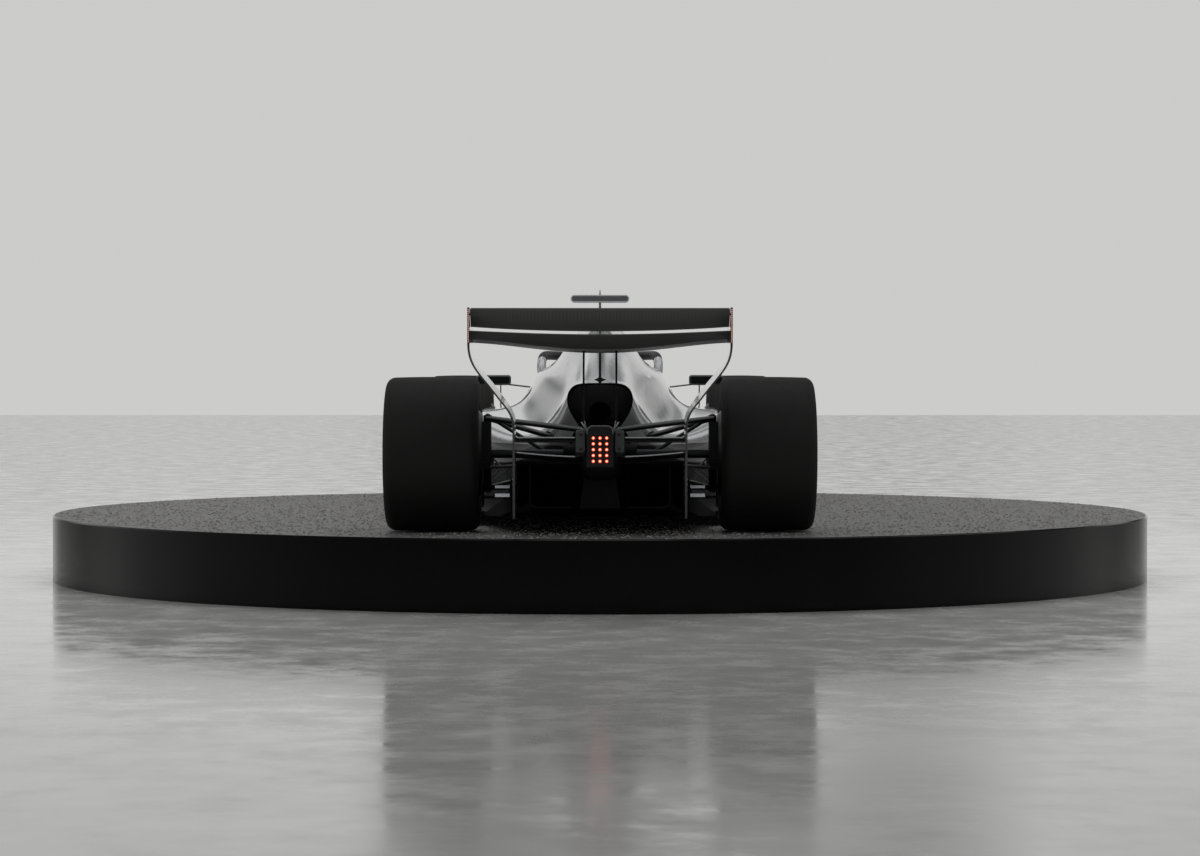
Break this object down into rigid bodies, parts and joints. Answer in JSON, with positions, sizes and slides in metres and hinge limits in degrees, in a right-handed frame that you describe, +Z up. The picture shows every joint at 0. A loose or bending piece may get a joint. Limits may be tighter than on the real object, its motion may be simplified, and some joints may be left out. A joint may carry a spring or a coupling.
{
  "type": "open wheel racing car on a round display plinth",
  "caption": "Single-seat open wheel racing car with a silver body, black wings, head protection hoop and rear light, standing on a round black plinth.",
  "frame": {"origin": "centre of the plinth's underside", "axes": "+Z up, +Y towards the car's nose, +X towards the car's right side"},
  "size_m": [5.7398, 5.7398, 1.5013],
  "materials": {
    "silver_paint": "satin metallic lacquer over carbon fibre",
    "carbon_satin": "satin carbon fibre",
    "carbon_gloss": "gloss lacquered carbon fibre",
    "plinth_gloss": "gloss black lacquer",
    "deck_asphalt": "dark granular coating",
    "plank_board": "densified laminate",
    "foam_cover": "dark covered foam",
    "seat_shell": "satin carbon fibre",
    "engine_casting": "as cast",
    "exhaust_metal": "heat tinted",
    "light_housing": "moulded black",
    "red_lens": "lit red lens",
    "tyre_rubber": "worn slick rubber",
    "rim_black": "satin black forged magnesium",
    "machined_alloy": "machined and anodised",
    "bare_steel": "ground steel",
    "grip_plastic": "moulded grip"
  },
  "bodies": {
    "root": {"plinth_drum": "plinth_gloss", "plinth_deck": "deck_asphalt", "survival_cell": "silver_paint", "nose_cone": "silver_paint", "engine_cover": "silver_paint", "sidepods": "silver_paint", "shark_fin": "carbon_gloss", "floor": "carbon_satin", "plank": "plank_board", "floor_fences": "carbon_satin", "diffuser": "carbon_satin", "halo": "carbon_gloss", "headrest": "foam_cover", "seat": "seat_shell", "mirrors": "carbon_gloss", "camera_pod": "carbon_gloss", "power_unit": "engine_casting", "gearbox_case": "carbon_satin", "tailpipe": "exhaust_metal", "rear_light": "light_housing", "rear_light_lenses": "red_lens", "endplate_lights": "red_lens", "rear_wing_mainplane": "carbon_satin", "rear_wing_endplates": "carbon_gloss", "beam_wing": "carbon_gloss", "wing_pylons": "carbon_gloss", "front_wing_mainplane": "carbon_satin", "front_wing_flaps": "carbon_satin", "front_wing_endplates": "carbon_satin", "front_upper_wishbones": "carbon_satin", "front_lower_wishbones": "carbon_satin", "front_pushrods": "carbon_satin", "rear_upper_wishbones": "carbon_satin", "rear_lower_wishbones": "carbon_satin", "rear_pullrods": "carbon_satin", "rear_uprights": "machined_alloy", "rack_case": "machined_alloy", "rear_drum_left": "carbon_satin", "rear_drum_right": "carbon_satin"},
    "wheel_rear_left": {"rear_tyre_left": "tyre_rubber", "rear_rim_left": "rim_black", "driveshaft_left": "bare_steel"},
    "wheel_rear_right": {"rear_tyre_right": "tyre_rubber", "rear_rim_right": "rim_black", "driveshaft_right": "bare_steel"},
    "steer_left": {"front_upright_left": "machined_alloy", "front_drum_left": "carbon_satin"},
    "steer_right": {"front_upright_right": "machined_alloy", "front_drum_right": "carbon_satin"},
    "wheel_front_left": {"front_tyre_left": "tyre_rubber", "front_rim_left": "rim_black"},
    "wheel_front_right": {"front_tyre_right": "tyre_rubber", "front_rim_right": "rim_black"},
    "rack": {"steering_rack": "bare_steel"},
    "hand_wheel": {"steering_wheel": "grip_plastic"},
    "wing_flap": {"rear_wing_flap": "carbon_satin"}
  },
  "joints": [
    {"name": "rear_wheel_left", "type": "hinge", "parent": "root", "child": "wheel_rear_left", "pos_m": [-0.7775, -2.09, 0.6943], "axis": [1, 0, 0], "continuous": true},
    {"name": "steer_left", "type": "hinge", "parent": "root", "child": "steer_left", "pos_m": [-0.577, 1.46, 0.6943], "axis": [0, 0, 1], "range_deg": [-16, 16]},
    {"name": "front_wheel_left", "type": "hinge", "parent": "steer_left", "child": "wheel_front_left", "pos_m": [-0.7975, 1.46, 0.6943], "axis": [1, 0, 0], "continuous": true},
    {"name": "rear_wheel_right", "type": "hinge", "parent": "root", "child": "wheel_rear_right", "pos_m": [0.7775, -2.09, 0.6943], "axis": [1, 0, 0], "continuous": true},
    {"name": "steer_right", "type": "hinge", "parent": "root", "child": "steer_right", "pos_m": [0.577, 1.46, 0.6943], "axis": [0, 0, 1], "range_deg": [-16, 16]},
    {"name": "front_wheel_right", "type": "hinge", "parent": "steer_right", "child": "wheel_front_right", "pos_m": [0.7975, 1.46, 0.6943], "axis": [1, 0, 0], "continuous": true},
    {"name": "rack_slide", "type": "slide", "parent": "root", "child": "rack", "axis": [1, 0, 0], "range_m": [-0.0336, 0.0336]},
    {"name": "steering_wheel_turn", "type": "hinge", "parent": "root", "child": "hand_wheel", "pos_m": [0, 0.47, 0.9193], "axis": [0, -0.9793, 0.2026], "range_deg": [-160, 160]},
    {"name": "wing_flap_tilt", "type": "hinge", "parent": "root", "child": "wing_flap", "pos_m": [0, -2.76, 1.3353], "axis": [1, 0, 0], "range_deg": [0, 25]}
  ],
  "couplings": [
    {"joint": "steer_right", "follows": "steer_left", "ratio": 1},
    {"joint": "rack_slide", "follows": "steer_left", "m_per_rad": 0.12},
    {"joint": "steering_wheel_turn", "follows": "steer_left", "ratio": 10}
  ]
}
